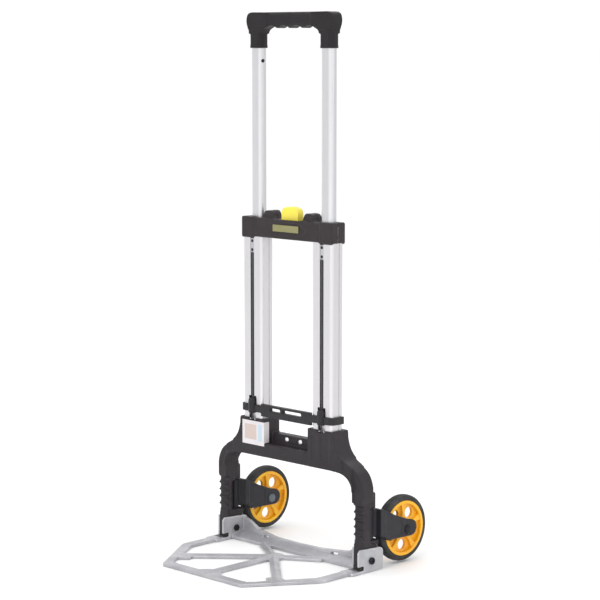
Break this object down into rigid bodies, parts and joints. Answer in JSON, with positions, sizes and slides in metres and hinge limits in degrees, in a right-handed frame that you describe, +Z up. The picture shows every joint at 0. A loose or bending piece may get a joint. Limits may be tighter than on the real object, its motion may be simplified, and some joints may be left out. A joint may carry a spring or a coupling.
{
  "type": "hand truck",
  "caption": "Folding two-wheel hand truck with telescopic handle, push-button latch, folding open-frame toe plate, swing-in wheels and elastic cords in the uprights.",
  "frame": {"origin": "on the floor under the back rail of the toe plate, midway between the uprights and in the plane of the uprights", "axes": "+X to the right seen from the load side, +Y back towards the wheels, +Z up along the uprights; the toe plate points along -Y"},
  "size_m": [0.41, 0.4015, 1.021],
  "materials": {
    "alu_outer": "satin anodised",
    "alu_inner": "satin anodised",
    "yoke_plastic": "fine grain",
    "bar_plastic": "fine grain",
    "handle_plastic": "fine grain",
    "grip_rubber": "soft touch",
    "hook_plastic": "fine grain",
    "fork_plastic": "fine grain",
    "button_plastic": "gloss",
    "badge": "satin, blank",
    "label": "printed blank",
    "cord": "braided elastic",
    "anchor": "grey",
    "rivet": "bright",
    "steel": "zinc plated",
    "black_steel": "black oxide",
    "pad": "moulded",
    "bush_plastic": "moulded",
    "cast_plate": "die cast, blasted",
    "rim_plastic": "moulded",
    "tyre": "moulded",
    "hub_bush": "plain"
  },
  "bodies": {
    "frame": {"yoke": "yoke_plastic", "outer_tube_left": "alu_outer", "outer_tube_right": "alu_outer", "lock_bar_front": "bar_plastic", "lock_bar_rear": "bar_plastic", "lock_bar_screws": "steel", "badge_plate": "badge", "cord_left": "cord", "cord_right": "cord", "cord_anchors": "anchor", "yoke_rivets": "rivet", "rating_label": "label", "hinge_pins": "steel", "toe_bolts": "black_steel", "leg_pads": "pad"},
    "handle": {"inner_tube_left": "alu_inner", "inner_tube_right": "alu_inner", "handle_shell": "handle_plastic", "grip_insert": "grip_rubber", "handle_screws": "black_steel", "guide_bushes": "bush_plastic"},
    "button": {"release_button": "button_plastic"},
    "latch_left": {"latch_pin_left": "steel"},
    "latch_right": {"latch_pin_right": "steel"},
    "hook_bar": {"hook_bar": "hook_plastic", "hook_bosses": "hook_plastic"},
    "toe": {"toe_plate": "cast_plate"},
    "fork_left": {"fork_left": "fork_plastic", "axle_left": "steel"},
    "fork_right": {"fork_right": "fork_plastic", "axle_right": "steel"},
    "wheel_left": {"rim_left": "rim_plastic", "tyre_left": "tyre", "hub_bush_left": "hub_bush"},
    "wheel_right": {"rim_right": "rim_plastic", "tyre_right": "tyre", "hub_bush_right": "hub_bush"}
  },
  "joints": [
    {"name": "handle_slide", "type": "slide", "parent": "frame", "child": "handle", "axis": [0, 0, -1], "range_m": [0, 0.311]},
    {"name": "button_press", "type": "slide", "parent": "frame", "child": "button", "axis": [0, 0, -1], "range_m": [0, 0.006], "stiffness_N_per_m": 500, "springref_m": -0.006},
    {"name": "latch_left_slide", "type": "slide", "parent": "frame", "child": "latch_left", "axis": [1, 0, 0], "range_m": [0, 0.005]},
    {"name": "latch_right_slide", "type": "slide", "parent": "frame", "child": "latch_right", "axis": [-1, 0, 0], "range_m": [0, 0.005]},
    {"name": "hook_bar_release", "type": "slide", "parent": "frame", "child": "hook_bar", "axis": [0, -1, 0], "range_m": [0, 0.05]},
    {"name": "toe_fold", "type": "hinge", "parent": "frame", "child": "toe", "pos_m": [0, 0.008, 0.0213], "axis": [-1, 0, 0], "range_deg": [0, 84]},
    {"name": "fork_left_swing", "type": "hinge", "parent": "frame", "child": "fork_left", "pos_m": [-0.181, 0.02, 0.09], "axis": [0, 0, -1], "range_deg": [0, 90]},
    {"name": "fork_right_swing", "type": "hinge", "parent": "frame", "child": "fork_right", "pos_m": [0.181, 0.02, 0.09], "axis": [0, 0, 1], "range_deg": [0, 90]},
    {"name": "wheel_left_spin", "type": "hinge", "parent": "fork_left", "child": "wheel_left", "pos_m": [-0.1825, 0.103, 0.0655], "axis": [1, 0, 0], "continuous": true},
    {"name": "wheel_right_spin", "type": "hinge", "parent": "fork_right", "child": "wheel_right", "pos_m": [0.1825, 0.103, 0.0655], "axis": [1, 0, 0], "continuous": true}
  ],
  "couplings": [
    {"joint": "latch_left_slide", "follows": "button_press", "ratio": 0.8333},
    {"joint": "latch_right_slide", "follows": "button_press", "ratio": 0.8333},
    {"joint": "fork_left_swing", "follows": "toe_fold", "ratio": 1.0714},
    {"joint": "fork_right_swing", "follows": "toe_fold", "ratio": 1.0714}
  ]
}
